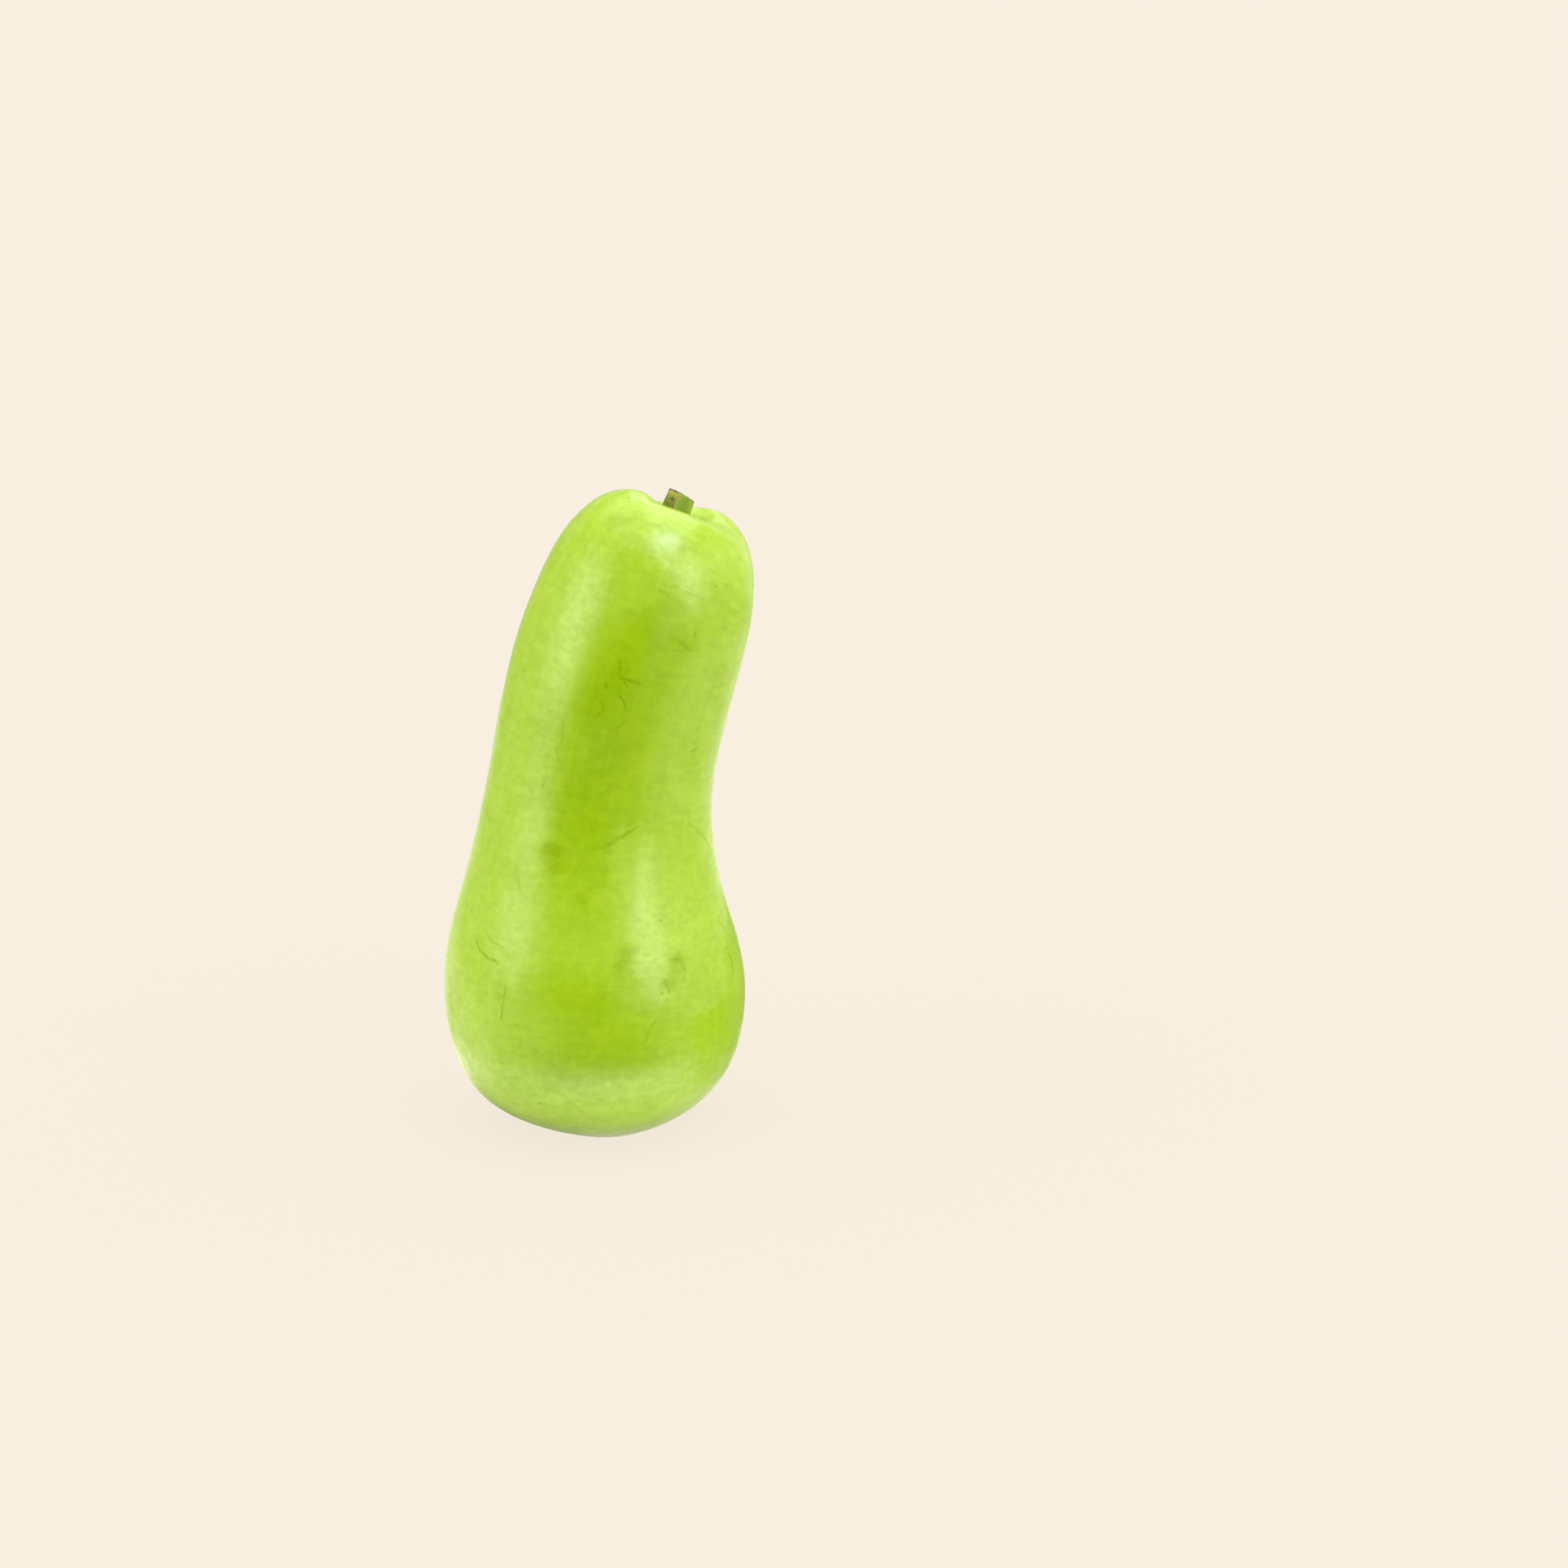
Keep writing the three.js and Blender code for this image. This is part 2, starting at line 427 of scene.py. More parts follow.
# %% The fruit's outline
REST_PATCH_RADIUS = 20
FRUIT_OUTLINE_MM = [
    (REST_PATCH_RADIUS, 0), (34.5, 6.5), (51, 20), (59.5, 40), (61, 60), (58, 80), (52.5, 100),
    (48, 120), (45, 142), (44.5, 165), (44.5, 188), (43.5, 208), (41, 226), (35.5, 240),
    (26.5, 249.5), (16, 252.5), (10.8, 251), (9.5, 248.2), (9.2, 246),
]
OUTLINE_STEPS = 290
PIT_FLOOR_MM = 246

lengths = [0.0]
for (r0, z0), (r1, z1) in zip(FRUIT_OUTLINE_MM, FRUIT_OUTLINE_MM[1:]):
    lengths.append(lengths[-1] + math.hypot(r1 - r0, z1 - z0))
radius_along = spline(lengths, [radius for radius, _ in FRUIT_OUTLINE_MM])
height_along = spline(lengths, [height for _, height in FRUIT_OUTLINE_MM])
steps = [lengths[-1] * i / OUTLINE_STEPS for i in range(OUTLINE_STEPS + 1)]
outline = [(0.0, 0.0), (7.0, 0.0), (14.0, 0.0)]
outline += [(float(radius_along(step)), float(height_along(step))) for step in steps]
outline += [(4.0, PIT_FLOOR_MM), (0.0, PIT_FLOOR_MM)]
print("fruit outline:", len(outline), "points,", round(lengths[-1]), "mm long")

# %% Bend and lobes
# height, then how far the core is off along X and along Y
CORE_MM = [
    (0, 0, 0), (60, -4, 1), (110, -3.5, 0.5), (160, 2.5, 0.5), (210, 16.5, 1.5), (255, 33.5, 3),
]
core_x = spline([height for height, _, _ in CORE_MM], [x for _, x, _ in CORE_MM], level_start=True)
core_y = spline([height for height, _, _ in CORE_MM], [y for _, _, y in CORE_MM], level_start=True)
# facing in degrees, rise in mm, half width in degrees, height in mm that it rises from
SWELLS = [
    (178, 0.2, 32, 205), (60, 0.6, 25, 232), (36, 3.0, 30, 232), (-85, 1.0, 40, 215),
    (130, -2.0, 28, 225), (-158, 1.4, 20, 235),
]
SWELL_TOP_MM = 249
SWELL_FADE_RADII = (9.2, 16)
SWELL_BULGE = 0.5
# width, height and depth
UNEVENNESS_MM = [(36, 34, 0.20), (18, 13, 0.06), (8, 6, 0.015)]
CORE_STEP_MM, LEVEL_BELOW_MM = 0.1, 0.01


@functools.lru_cache(maxsize=None)
def core_frame(height):
    """The core's place at a height and its directions there: across, away and along."""
    place = Vector((core_x(height), core_y(height), height))
    higher = height + CORE_STEP_MM
    along = Vector((core_x(higher), core_y(higher), higher)) - place
    if height < LEVEL_BELOW_MM:
        along = Vector((0, 0, 1))
    along.normalize()
    across = Vector((along.z, 0, -along.x)).normalized()
    return place, across, along.cross(across), along


def soft_step(value, low, high):
    share = min(max((value - low) / (high - low), 0), 1)
    return share * share * (3 - 2 * share)


def swell_height(angle, height):
    total = 0.0
    for facing, rise, half_width, fade_from in SWELLS:
        turn = (math.degrees(angle) - facing + 180) % 360 - 180
        level = soft_step(height, fade_from, SWELL_TOP_MM)
        total += rise * level * math.exp(-((turn / half_width) ** 2))
    return total


def unevenness(point):
    """How far the skin stands out at a point: soft waves of a width, a height and a depth."""
    waves = sum(
        depth * noise.noise(Vector((point.x / wide, point.y / wide, point.z / tall)))
        for wide, tall, depth in UNEVENNESS_MM
    )
    return waves * soft_step(point.z, 1, 8)


def bent(point):
    """Where a point of the straight fruit, in mm, goes on the bent and lobed one."""
    radius, angle = math.hypot(point.x, point.y), math.atan2(point.y, point.x)
    raised = swell_height(angle, point.z) * soft_step(radius, *SWELL_FADE_RADII)
    place, across, away, along = core_frame(round(point.z, 4))
    reach = radius + SWELL_BULGE * raised
    if radius > SWELL_FADE_RADII[0]:
        reach += unevenness(point)
    x, y = reach * math.cos(angle), reach * math.sin(angle)
    return place + across * x + away * y + along * raised


# %% [markdown]
# Spinning the outline all the way round makes the body; the seam and both poles are merged and the
# normals are turned outwards. A bend modifier could lean the neck, but it bends evenly and leaves
# no record of the straight shape. Here a function moves every point, and its straight place is kept
# on the mesh as an attribute, so the skin's streaks can follow the fruit from end to end.

# %% Spin, remember, bend
AROUND, STEM_AROUND = 256, 120


def spun(points, around):
    """A closed bmesh of an outline, in mm, spun round Z."""
    body = bmesh.new()
    line = [body.verts.new((radius, 0, height)) for radius, height in points]
    edges = [body.edges.new(pair) for pair in zip(line, line[1:])]
    bmesh.ops.spin(
        body, geom=line + edges, cent=(0, 0, 0), axis=(0, 0, 1), dvec=(0, 0, 0),
        angle=2 * math.pi, steps=around, use_merge=True,
    )
    bmesh.ops.remove_doubles(body, verts=body.verts, dist=1e-3)
    bmesh.ops.recalc_face_normals(body, faces=body.faces)
    return body


def finished(body, name, move):
    """Makes a bmesh in mm a piece in metres, moved by move(point), and keeps its straight place."""
    layer = body.verts.layers.float_vector.new("straight")
    for vert in body.verts:
        vert[layer] = vert.co * MM
        vert.co = move(vert.co) * MM
    for face in body.faces:
        face.smooth = True
    mesh = bpy.data.meshes.new(name)
    body.to_mesh(mesh)
    body.free()
    piece = bpy.data.objects.new(name, mesh)
    bpy.context.collection.objects.link(piece)
    print(name, len(mesh.polygons), "faces")
    return piece


fruit = finished(spun(outline, AROUND), "gourd_fruit", bent)

# %% [markdown]
# The stem is a stub of the vine's stalk: five-sided with a rib at each corner, a little wider where
# it grips the fruit, and cut with one slanting stroke. It is spun like the fruit; the ribs, the
# slant and the ragged edge of the cut are worked in as its points are seated in the pit.

# %% Stem
STEM_OUTLINE_MM = [(6.4, 0), (6.0, 2), (5.8, 5), (5.65, 8), (5.5, 11.9)]
STEM_RIM_MM = [(5.4, 12.15), (5.15, 12.3), (4.7, 12.35), (3.5, 12.2), (1.8, 12.0), (0, 11.9)]
STEM_STEPS = 24
STEM_RIBS = 5
STEM_RIB_FACING = math.radians(-107)
STEM_RIBBING = 0.055
STEM_GROOVES = 0.02
STEM_CUT_SLANT = 0.14
STEM_CUT_BACK = 0.20
STEM_CUT_RAGGED = 0.25
STEM_OFF_AXIS = -1.2
STEM_TALL = STEM_OUTLINE_MM[-1][1]

stem_foot, stem_across, stem_away, stem_along = core_frame(PIT_FLOOR_MM)
stem_heights = [STEM_TALL * i / STEM_STEPS for i in range(STEM_STEPS + 1)]
station_radii, station_heights = zip(*STEM_OUTLINE_MM)
stem_radii = [float(np.interp(z, station_heights, station_radii)) for z in stem_heights]
stem_outline = [(0, 0), *zip(stem_radii, stem_heights), *STEM_RIM_MM]


def seated(point):
    """Where a point of the upright stem, in mm, goes on the fruit."""
    radius, angle = math.hypot(point.x, point.y), math.atan2(point.y, point.x)
    groove = noise.noise(Vector((3 * math.cos(angle), 3 * math.sin(angle), point.z / 14)))
    ribbing = STEM_RIBBING * math.cos(STEM_RIBS * (angle - STEM_RIB_FACING))
    radius *= 1 + ribbing + STEM_GROOVES * groove
    x, y = radius * math.cos(angle), radius * math.sin(angle)
    ragged = STEM_CUT_RAGGED * noise.noise(Vector((x, y, 0)) / 1.3) * soft_step(point.z, 9, 12)
    z = point.z * (1 - (STEM_CUT_SLANT * x + STEM_CUT_BACK * y) / STEM_TALL) + ragged
    return stem_foot + stem_across * (x + STEM_OFF_AXIS) + stem_away * y + stem_along * z


stem = finished(spun(stem_outline, STEM_AROUND), "gourd_stem", seated)

# %% [markdown]
# The skin's marks come from the field: grey-green smudges where leaves and soil rubbed it, a few
# fine scratches and specks. Wide deeper-green zones are added too: those round the back are the
# skin's own uneven green, but those on the side that faces the camera are painted shade, darkening
# the strip of neck and bulb that the studio's dark front leaves unlit. Each is placed by the way it
# faces, in degrees from +X towards +Y, and by its height in millimetres. Soft patches are worked
# out once for every vertex and kept as an attribute, because they are far wider than the mesh's
# spacing.

# %% Places on the skin
crest = max(range(len(outline)), key=lambda i: outline[i][1])
outer_radii, outer_heights = zip(*outline[2 : crest + 1])


def on_skin(facing, height):
    """A place on the straight skin, in metres, from its facing in degrees and its height in mm."""
    radius, angle = float(np.interp(height, outer_heights, outer_radii)), math.radians(facing)
    return Vector((radius * math.cos(angle), radius * math.sin(angle), height)) * MM


# %% Soft patches
# facing, height, half width and half height in mm, strength
SMUDGES = [
    (-123, 245, 5.0, 3.0, 0.45), (-131, 243, 4.0, 2.6, 0.2), (-119, 247, 2.6, 2.0, 0.25),
    (-65, 211, 5.5, 3.0, 0.6), (-58, 214, 3.0, 2.0, 0.4), (-74, 171, 6.5, 7.0, 0.3),
    (-106, 126, 4.5, 3.5, 1.0), (-105, 120, 3.5, 3.5, 0.9), (-113, 124, 5.0, 3.0, 0.5),
    (-121, 111, 2.5, 3.5, 0.5), (-126, 117, 3.0, 4.0, 0.5), (-91, 107, 4.0, 3.5, 0.7),
    (-94, 119, 2.5, 3.0, 0.4), (-73, 89, 4.5, 5.5, 0.85), (-75, 82, 3.5, 3.5, 0.7),
    (-51, 81, 4.0, 5.5, 0.75), (-56, 73, 5.0, 4.0, 0.65), (-50, 77, 12.0, 8.0, 0.35),
    (-156, 60, 4.0, 5.0, 0.6), (-158, 50, 3.0, 4.0, 0.5), (-47, 48, 5.0, 3.0, 0.35),
    (-62, 55, 6.0, 3.0, 0.3),
    (-106, 171, 4.5, 4.0, 0.3), (-94, 181, 6.0, 5.0, 0.35), (-102, 157, 4.0, 5.0, 0.35),
    (20, 150, 5.0, 4.0, 0.7), (48, 96, 6.0, 4.0, 0.6), (75, 210, 4.0, 5.0, 0.5),
    (88, 60, 7.0, 5.0, 0.5), (104, 132, 4.0, 6.0, 0.8), (133, 188, 5.0, 3.5, 0.5),
    (150, 84, 6.0, 4.0, 0.6), (168, 226, 3.0, 3.0, 0.4), (8, 38, 5.0, 3.0, 0.4),
    (-8, 196, 4.0, 4.0, 0.3), (60, 170, 7.0, 6.0, 0.3), (120, 45, 6.0, 5.0, 0.4),
]
WANDER_MM = [(11, 2.8), (5, 1.6)]
# Deeper-green zones. Those facing between about -45 and -125 degrees, towards the camera, are
# painted shade on the strip that the studio's dark front leaves unlit; the rest are the skin's own
# uneven green.
DEEP_AND_SHADE_ZONES = [
    (-80, 205, 14, 28, 0.6), (-90, 178, 13, 28, 0.85), (-92, 140, 14, 26, 0.6),
    (-88, 40, 34, 14, 0.9), (-85, 66, 26, 14, 0.4), (-50, 78, 18, 10, 0.5),
    (-45, 64, 22, 12, 0.5), (-90, 242, 11, 6, 1.0), (-125, 244, 9, 6, 0.8),
    (35, 185, 22, 34, 0.7), (80, 120, 26, 24, 0.5), (110, 60, 34, 20, 0.6),
    (140, 200, 18, 28, 0.6), (170, 130, 20, 30, 0.5), (10, 80, 26, 24, 0.5),
]


def wander(place):
    """How far a patch's edge strays at a place, so that no patch is a plain oval."""
    strays = (noise.noise_vector(Vector(place) / (wide * MM)) * far * MM for wide, far in WANDER_MM)
    return sum(strays, Vector())


def keep_patches(piece, name, patches, soft_to):
    """Keeps on every vertex how strongly the patches cover it, fading to soft_to half widths."""
    count = len(piece.data.vertices)
    places = np.empty(count * 3, np.float32)
    piece.data.attributes["straight"].data.foreach_get("vector", places)
    places = places.reshape(count, 3)
    places = places + np.array([wander(place) for place in places])
    bare = np.ones(count)
    for facing, height, half_width, half_height, strength in patches:
        away = (places - np.array(on_skin(facing, height))) / MM
        reach = np.linalg.norm(away / (half_width, half_width, half_height), axis=1)
        share = np.clip(1 - reach / soft_to, 0, 1)
        bare *= 1 - strength * share * share * (3 - 2 * share)
    layer = piece.data.attributes.new(name, "FLOAT", "POINT")
    layer.data.foreach_set("value", (1 - bare).astype(np.float32))
    print(name, "covers", round(100 * float((bare < 0.9).mean())), "% of the skin")


keep_patches(fruit, "smudge", SMUDGES, 1.8)
keep_patches(fruit, "deep_zone", DEEP_AND_SHADE_ZONES, 1.5)

# %% [markdown]
# Scratches are too fine for the mesh, so the shader measures how far each place is from the line of
# every scratch. The place is first shaken a little by a noise, which makes the lines scrawl.

# %% Scratches and specks
# strength, half width in mm, then the places that the scratch runs through
SCRATCHES = [
    (1.0, 0.45, (-94, 199), (-92, 197), (-92, 194), (-89, 193), (-81, 193)),
    (0.8, 0.40, (-88, 192), (-86, 190.5)),
    (0.8, 0.45, (-97, 190), (-96, 188)),
    (0.9, 0.40, (-89, 187), (-86, 185), (-84, 182)),
    (0.6, 0.40, (-100, 184), (-96, 183), (-94, 180), (-97, 177)),
    (0.6, 0.35, (-82, 178), (-86, 175), (-85, 171)),
    (0.5, 0.35, (-113, 172), (-111, 166), (-113, 161), (-110, 157)),
    (0.8, 0.40, (-118, 147), (-117, 149)),
    (0.9, 0.40, (-38, 171), (-41, 169.5)),
    (0.7, 0.40, (-34, 165), (-36, 163.5)),
    (0.6, 0.40, (-86, 227), (-81, 226)),
    (0.5, 0.35, (-72, 229), (-65, 229)),
    (0.8, 0.45, (-60, 217), (-59, 215)),
    (0.35, 0.45, (-69, 213), (-61, 210), (-55, 211)),
    (0.35, 0.45, (-67, 209), (-60, 207)),
    (0.5, 0.40, (-86, 149), (-84, 151)),
    (0.4, 0.45, (-96, 118), (-94, 121), (-92, 124)),
    (0.9, 0.50, (-81, 130), (-76, 132.5), (-71, 135)),
    (0.6, 0.45, (-73, 134.5), (-67, 137)),
    (0.45, 0.45, (-88, 128), (-82, 129)),
    (0.6, 0.40, (-35, 137), (-26, 132), (-18, 127), (-12, 121)),
    (0.9, 0.45, (-140, 87), (-136, 84), (-132, 83), (-126, 82)),
    (0.6, 0.40, (-137, 92), (-131, 89), (-125, 88)),
    (0.8, 0.45, (-20, 93), (-14, 84)),
    (1.0, 0.50, (-20, 80), (-18, 75), (-18, 70)),
    (0.6, 0.45, (-18, 70), (-20, 65)),
    (0.9, 0.35, (-121, 74), (-122, 67), (-123, 61)),
    (0.5, 0.50, (-64, 59), (-66, 54), (-69, 49)),
    (0.3, 0.45, (-125, 116), (-122, 111), (-119, 108)),
    (0.5, 0.45, (-55, 84), (-50, 83), (-48, 78), (-50, 73)),
    (0.6, 0.45, (-58, 76), (-57, 70)),
    (0.8, 0.45, (30, 120), (38, 116), (44, 117)),
    (0.7, 0.40, (72, 88), (80, 84), (92, 83)),
    (0.8, 0.45, (112, 176), (109, 168), (112, 160)),
    (0.6, 0.45, (150, 120), (158, 113), (160, 104)),
    (0.7, 0.40, (100, 232), (108, 228)),
]
SPECKS = [
    (-142, 250), (-46, 235), (-54, 234), (-60, 216), (-35, 206), (-56, 100), (-158, 91), (-60, 70),
    (-113, 26), (-35, 26), (-109, 50), (24, 70), (66, 190), (95, 110), (128, 30), (162, 160),
]


def scratch_distance(graph, place, stations):
    """How far a place is, in metres, from the line that runs through the stations."""
    nearest = None
    for start, end in zip(stations, stations[1:]):
        line = end - start
        from_start = graph.shifted(place, -start)
        per_length = line / line.length_squared
        share = graph.clamped(graph.vector_math("DOT_PRODUCT", from_start, per_length, "Value"))
        foot = graph.add("ShaderNodeVectorMath", {"operation": "SCALE"}, {0: line, "Scale": share})
        gap = graph.distance(from_start, foot)
        nearest = gap if nearest is None else graph.math("MINIMUM", nearest, gap)
    return nearest


# %% [markdown]
# The skin is a thin green wax over pale flesh. A scanned skin would hold every mark, but it would
# hold the light of its day too and blur close up, so the skin is worked out from noises. Its colour
# drifts between a paler and a deeper green at several sizes: clouds the width of a thumb, a fine
# mottle and grain, faint bands round the fruit and long streaks from end to end.

# %% Skin tone
PALE_GREEN = (0.256, 0.432, 0.001, 1.0)
DEEP_GREEN_AND_SHADE = (0.191, 0.341, 0.0, 1.0)

skin = bpy.data.materials.new("waxy_skin")
graph = Graph(skin)
straight = graph.add("ShaderNodeAttribute", {"attribute_name": "straight"}, output="Vector")
smudge = graph.add("ShaderNodeAttribute", {"attribute_name": "smudge"}, output="Fac")
deep_zone = graph.add("ShaderNodeAttribute", {"attribute_name": "deep_zone"}, output="Fac")

clouds = graph.swing(straight, 55.0, 3.0, 0.55)
mottle = graph.swing(graph.scaled(straight, (1.0, 1.0, 1.5)), 230.0, 3.0, 0.6)
grain = graph.swing(graph.scaled(straight, (1.0, 1.0, 1.4)), 520.0, 3.0, 0.6)
bands = graph.swing(graph.scaled(straight, (0.25, 0.25, 1.0)), 420.0, 2.0, 0.5)
streaks = graph.swing(graph.scaled(straight, (1.0, 1.0, 0.07)), 300.0, 2.0, 0.5)
# The deeper-green zones subtracted here are partly painted shade: on the camera's side they darken
# the strip that the studio's dark front leaves unlit.
tone = 0.6 + clouds * 0.9 + mottle + grain * 0.6 + bands * 0.7 + streaks * 0.5 - deep_zone * 0.6
colour = graph.mix(graph.clamped(tone), DEEP_GREEN_AND_SHADE, PALE_GREEN)

# %% [markdown]
# Scratches and smudges are a greyer green, because the wax is rubbed off there. Both are broken up
# by the same mottle and grain, so that they lie in the skin and not on it, and a smudge is darkest
# along fine threads. Small pale dots are sprinkled by a cell pattern, the pit is paler green, and a
# dry brown scar marks the blossom end.

# %% Skin marks
SMUDGE_GREEN = (0.138, 0.242, 0.0, 1.0)
SCRATCH_GREEN = (0.100, 0.185, 0.0, 1.0)
PIT_GREEN = (0.262, 0.455, 0.004, 1.0)
DOT_GREEN = (0.33, 0.50, 0.06, 1.0)
SCAR_BROWN = (0.16, 0.11, 0.045, 1.0)
SHAKE = 1.8 * MM
SCRATCH_SOFT = (0.2, 2.0)
SPECK_RADII = (0.3 * MM, 0.9 * MM)
DOTS_PER_METRE, DOT_RADII = 170.0, (0.03, 0.09)
PIT_RADII, PIT_LEVELS = (11 * MM, 19 * MM), (240 * MM, 247 * MM)
SCAR_RADII = (3.5 * MM, 6.5 * MM)

shaken = graph.noise(straight, 300.0, 2.0, 0.5, output="Color")
shaken = graph.shifted(graph.scaled(shaken, (SHAKE,) * 3), (-SHAKE / 2,) * 3)
scrawled = graph.vector_math("ADD", straight, shaken)
scratched = None
for strength, half_width, *stations in SCRATCHES:
    reach = scratch_distance(graph, scrawled, [on_skin(*station) for station in stations])
    full, gone = (share * half_width * MM for share in SCRATCH_SOFT)
    mark = graph.ramp(reach, full, gone, strength, 0.0)
    scratched = mark if scratched is None else graph.math("MAXIMUM", scratched, mark)
for station in SPECKS:
    mark = graph.ramp(graph.distance(scrawled, on_skin(*station)), *SPECK_RADII, 0.9, 0.0)
    scratched = graph.math("MAXIMUM", scratched, mark)
scratched = scratched * graph.ramp(grain + mottle, -0.2, 0.1, 0.25, 1.0)

threads = graph.math("ABSOLUTE", graph.swing(scrawled, 560.0, 3.0, 0.65))
rubbed = graph.ramp(smudge + mottle * 1.8 + grain * 0.5, 0.15, 1.05)
rubbed = rubbed * graph.ramp(smudge, 0.0, 0.3) * graph.ramp(threads, 0.0, 0.10, 1.0, 0.50)

cells = {"Vector": straight, "Scale": DOTS_PER_METRE}
dots = graph.ramp(graph.add("ShaderNodeTexVoronoi", {}, cells, "Distance"), *DOT_RADII, 1.0, 0.0)
off_axis = graph.distance(graph.scaled(straight, (1.0, 1.0, 0.0)), (0.0, 0.0, 0.0))
pit = graph.ramp(off_axis, *PIT_RADII, 0.7, 0.0)
_, level = compass(graph, straight)
pit = pit * graph.ramp(level, *PIT_LEVELS)
off_foot = graph.distance(graph.scaled(straight, (1.0, 1.0, 4.0)), (0.0, 0.0, 0.0))
scar = graph.ramp(off_foot + mottle * 3 * MM, *SCAR_RADII, 1.0, 0.0)

colour = graph.mix(rubbed * 0.66, colour, SMUDGE_GREEN)
colour = graph.mix(scratched * 0.62, colour, SCRATCH_GREEN)
colour = graph.mix(pit, colour, PIT_GREEN)
colour = graph.mix(dots * 0.25, colour, DOT_GREEN)
colour = graph.mix(scar, colour, SCAR_BROWN)
print("skin marks:", len(SCRATCHES), "scratches,", len(SPECKS), "specks,", len(SMUDGES), "smudges")

# %% [markdown]
# Wax shines, and where it is thin or rubbed off the skin is dull. One shader with a lower gloss
# would dim the shine evenly, so two are mixed: one with the shine of wax and one with none. The
# noises decide point by point how much of each shows, which gives highlights their fine grain. In
# both, light sinks a few millimetres into the flesh, which softens every shadow.

# %% Skin shine
SHINES = {"waxed": 0.68, "bare": 0.0}
SKIN_IOR = 1.5
SINKS_SHARE, SINKS_RGB, SINKS_DEPTH = 0.2, (1.0, 0.8, 0.2), 8 * MM

roughness = 0.205 + mottle * 0.10 + scar * 0.4
dull = 0.25 - grain * 0.8 - mottle * 0.65 - clouds * 0.35
dull = graph.clamped(dull + rubbed * 0.3 + smudge * 0.3 + scratched * 0.5 + scar)
height = grain * 0.016 + mottle * 0.030 + bands * 0.012 + streaks * 0.012 - scratched * 0.01
normal = graph.bump(height)
finishes = {
    name: graph.add("ShaderNodeBsdfPrincipled", {}, {
        "Base Color": colour, "Roughness": roughness, "Normal": normal,
        "IOR": SKIN_IOR, "Specular IOR Level": shine,
        "Subsurface Weight": SINKS_SHARE, "Subsurface Radius": SINKS_RGB,
        "Subsurface Scale": SINKS_DEPTH,
    })
    for name, shine in SHINES.items()
}
shader = graph.add("ShaderNodeMixShader", {}, {0: dull, 1: finishes["waxed"], 2: finishes["bare"]})
graph.add("ShaderNodeOutputMaterial", {}, {"Surface": shader})
fruit.data.materials.append(skin)
print("skin:", len(graph.tree.nodes), "nodes")

# %% [markdown]
# The stem is matt and fibrous. It dried unevenly after the cut: olive on one face, fresh green on
# the next, which yellows upwards, with a pale line along the rib between them. Just under the cut
# it is straw-coloured, and the rim is dark brown. A pale strip down its right-hand edge, strongest
# near the top, is a painted highlight. Bands of colour are placed by azimuth and level; the fibres,
# a noise drawn out along the stem, fray every edge between them.

# %% Stem colours
STEM_OLIVE_AND_SHADE = (0.128, 0.190, 0.010, 1.0)
STEM_FRESH = (0.155, 0.272, 0.018, 1.0)
STEM_YELLOW = (0.22, 0.318, 0.016, 1.0)
STEM_OCHRE = (0.17, 0.155, 0.02, 1.0)
STEM_PALE = (0.30, 0.34, 0.11, 1.0)
STEM_PAINTED_HIGHLIGHT = (0.50, 0.60, 0.34, 1.0)
STEM_STRAW = (0.30, 0.295, 0.045, 1.0)
STEM_BROWN = (0.045, 0.034, 0.014, 1.0)
STEM_PITH = (0.19, 0.165, 0.075, 1.0)

stalk = bpy.data.materials.new("stalk")
graph = Graph(stalk)
straight = graph.add("ShaderNodeAttribute", {"attribute_name": "straight"}, output="Vector")
azimuth, level = compass(graph, straight)
fibres = graph.noise(graph.scaled(straight, (1.0, 1.0, 0.12)), 900.0, 3.0, 0.6)
blotches = graph.noise(straight, 420.0, 3.0, 0.6)
flecks = graph.noise(straight, 1100.0, 2.0, 0.6)
level = level * (1 / MM) + (blotches - 0.5) * 1.6
facing = azimuth + (fibres - 0.5) * 22.0

fresh = graph.ramp(facing, -22, -10) * graph.ramp(facing, 135, 165, 1.0, 0.0)
colour = graph.mix(fresh, STEM_OLIVE_AND_SHADE, STEM_FRESH)
yellowed = graph.ramp(facing, 22, 60) * graph.ramp(facing, 110, 150, 1.0, 0.0)
colour = graph.mix(yellowed * graph.ramp(level, 3, 9), colour, STEM_YELLOW)
# A painted highlight: a pale strip down the right-hand edge, facing +X, strongest near the top,
# where the edge catches the light.
painted_highlight = graph.ramp(away_from(graph, facing, 80), 4, 12, 0.85, 0.0)
colour = graph.mix(painted_highlight * graph.ramp(level, 6, 9.5, 1.0, 0.3), colour, STEM_PAINTED_HIGHLIGHT)
for rib, soft, share, rib_colour in ((-23, 8, 0.75, STEM_OCHRE), (-13, 7, 0.8, STEM_PALE)):
    ridge = graph.ramp(away_from(graph, facing, rib), 2, soft, share, 0.0)
    colour = graph.mix(ridge, colour, rib_colour)
straw = graph.ramp(level, 9, 10.6) * graph.ramp(facing, -10, 10, 0.95, 0.0)
colour = graph.mix(straw, colour, STEM_STRAW)
dried = graph.ramp(blotches, 0.50, 0.66, 0.0, 0.45) * graph.ramp(facing, -30, 0, 1.0, 0.3)
colour = graph.mix(dried, colour, STEM_OCHRE)

# %% [markdown]
# Last come the small things: a knot where a hair or a leaf broke off, dark fibres, light and dark
# flecks on the dried face, painted shade at the foot where the stem meets the fruit, the brown rim
# and the pith inside the cut.

# %% Stem marks and material
KNOT = Vector((-3.5, -4.4, 9.0)) * MM
KNOT_RADII = (0.4 * MM, 0.9 * MM)
PITH_RADII = (4.6 * MM, 5.0 * MM)

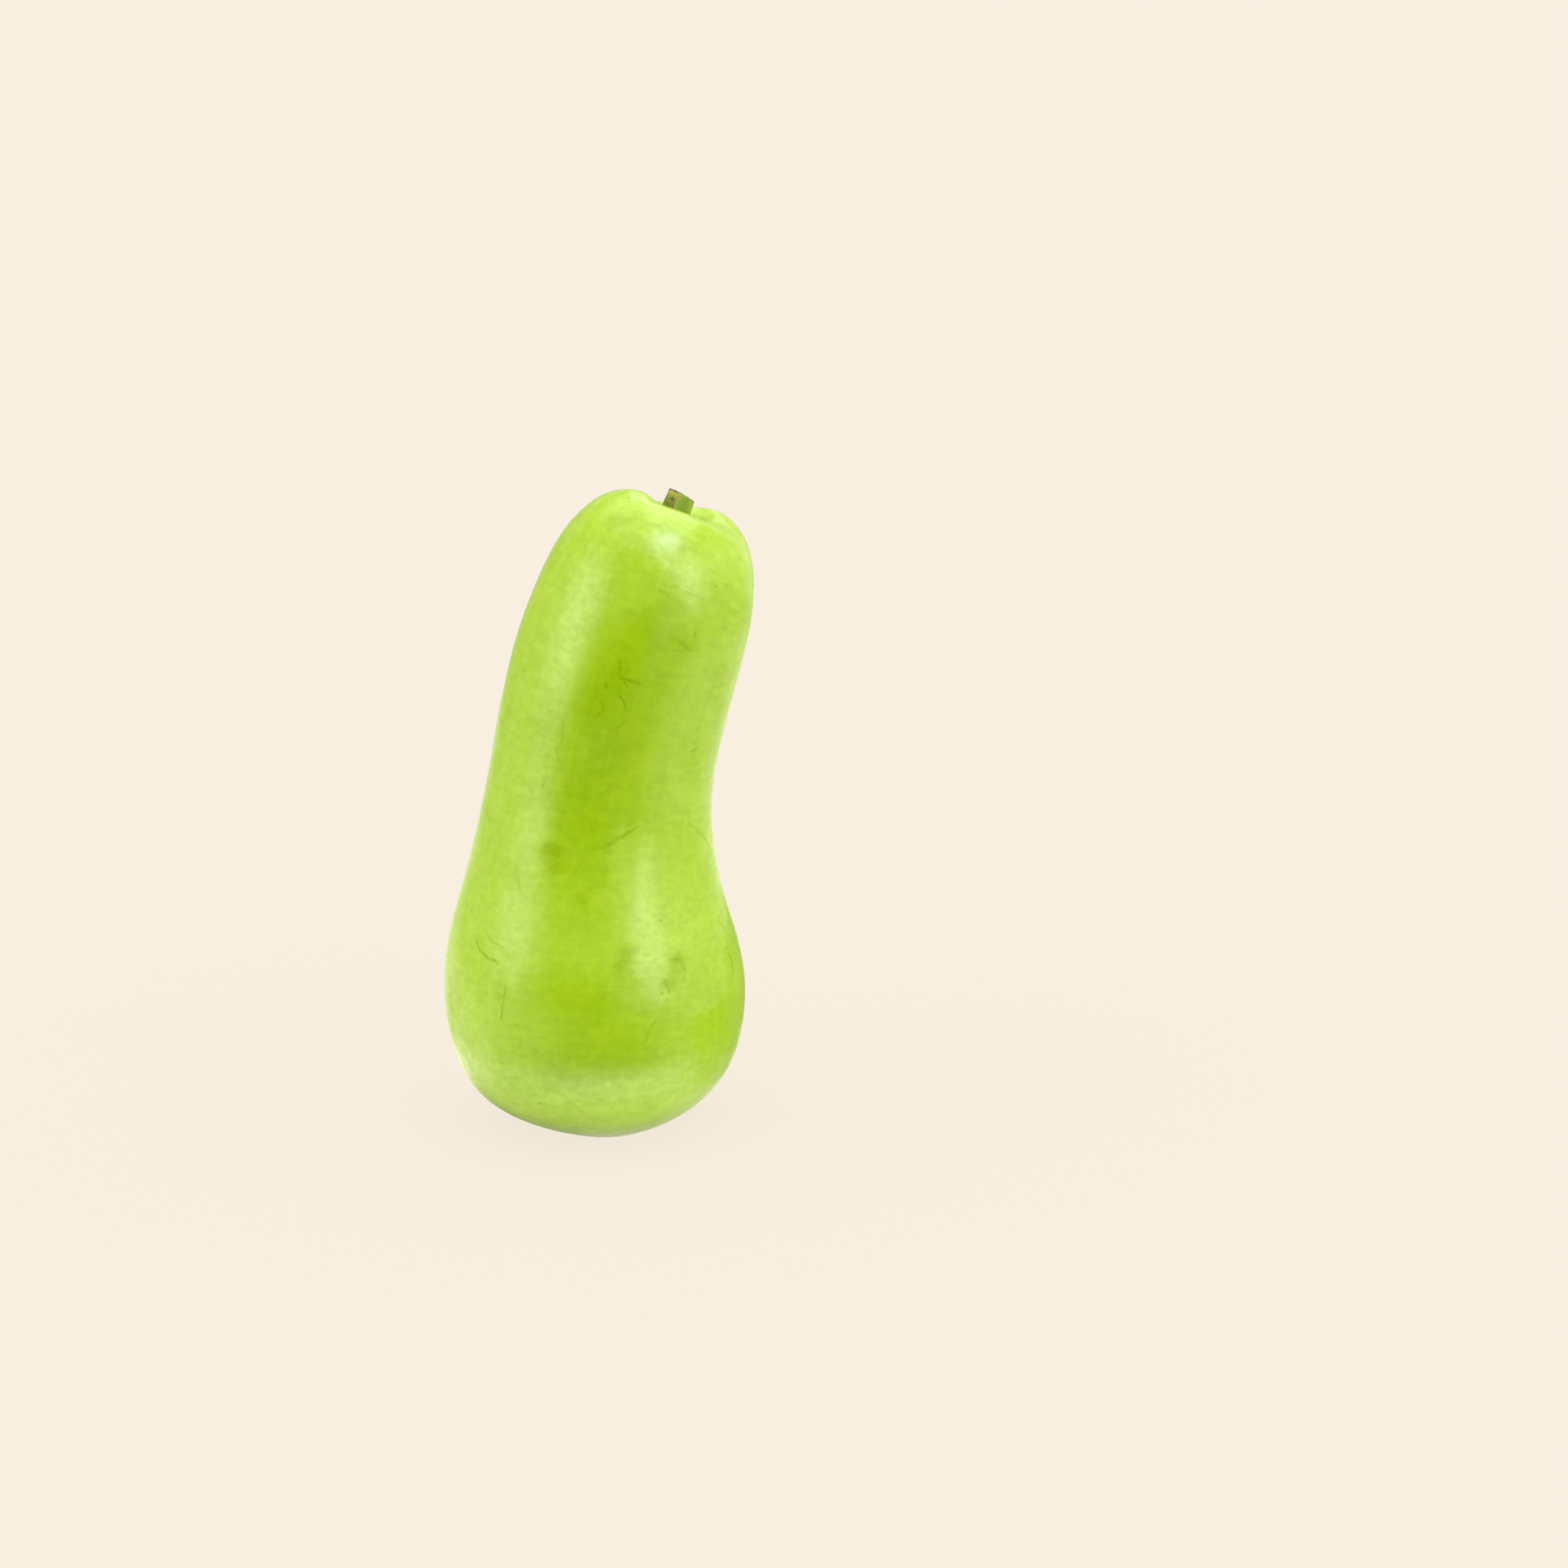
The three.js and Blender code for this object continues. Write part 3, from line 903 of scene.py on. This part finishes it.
knot = graph.distance(straight, KNOT)
colour = graph.mix(graph.ramp(knot, *KNOT_RADII, 1.0, 0.0), colour, STEM_BROWN)
colour = graph.mix(graph.ramp(fibres, 0.35, 0.6, 0.25, 0.0), colour, STEM_BROWN)
light_flecks = graph.ramp(flecks, 0.54, 0.64, 0.0, 0.65)
dark_flecks = graph.ramp(flecks, 0.34, 0.44, 0.45, 0.0)
dried_face = graph.ramp(facing, -25, 0, 1.0, 0.2)
colour = graph.mix(light_flecks * dried_face, colour, STEM_STRAW)
colour = graph.mix(dark_flecks * dried_face, colour, STEM_BROWN)
# Painted shade: the foot of the stem, where it meets the fruit, is darkened towards olive.
colour = graph.mix(graph.ramp(level, 1, 2.4, 0.6, 0.0), colour, STEM_OLIVE_AND_SHADE)
rim = graph.ramp(level, 11.55, 11.9) * graph.ramp(facing, -50, 30, 1.0, 0.3)
colour = graph.mix(rim, colour, STEM_BROWN)
off_axis = graph.distance(graph.scaled(straight, (1.0, 1.0, 0.0)), (0.0, 0.0, 0.0))
pores = graph.noise(straight, 1400.0, 2.0, 0.6)
pith = graph.ramp(off_axis + (pores - 0.5) * 2 * MM, *PITH_RADII, 1.0, 0.0)
pith = pith * graph.ramp(level, 10.5, 11.3)
colour = graph.mix(pith, colour, STEM_PITH)
colour = graph.mix(pith * graph.ramp(pores, 0.35, 0.65, 0.7, 0.0), colour, STEM_BROWN)

shader = graph.add("ShaderNodeBsdfPrincipled", {}, {
    "Base Color": colour, "Roughness": 0.62 + (blotches - 0.5) * 0.2,
    "Normal": graph.bump(fibres * 0.28 + pores * 0.06),
    "IOR": 1.45, "Specular IOR Level": 0.3,
})
graph.add("ShaderNodeOutputMaterial", {}, {"Surface": shader})
stem.data.materials.append(stalk)
print("stalk:", len(graph.tree.nodes), "nodes")

# %% [markdown]
# Each piece rides on the one body and takes over the CAD node that it was rebuilt from, which is
# hidden.

# %% Hand over
for piece, node, slot in ((fruit, "fruit", "skin"), (stem, "stem", "stem")):
    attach(piece, "root")
    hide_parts(node)
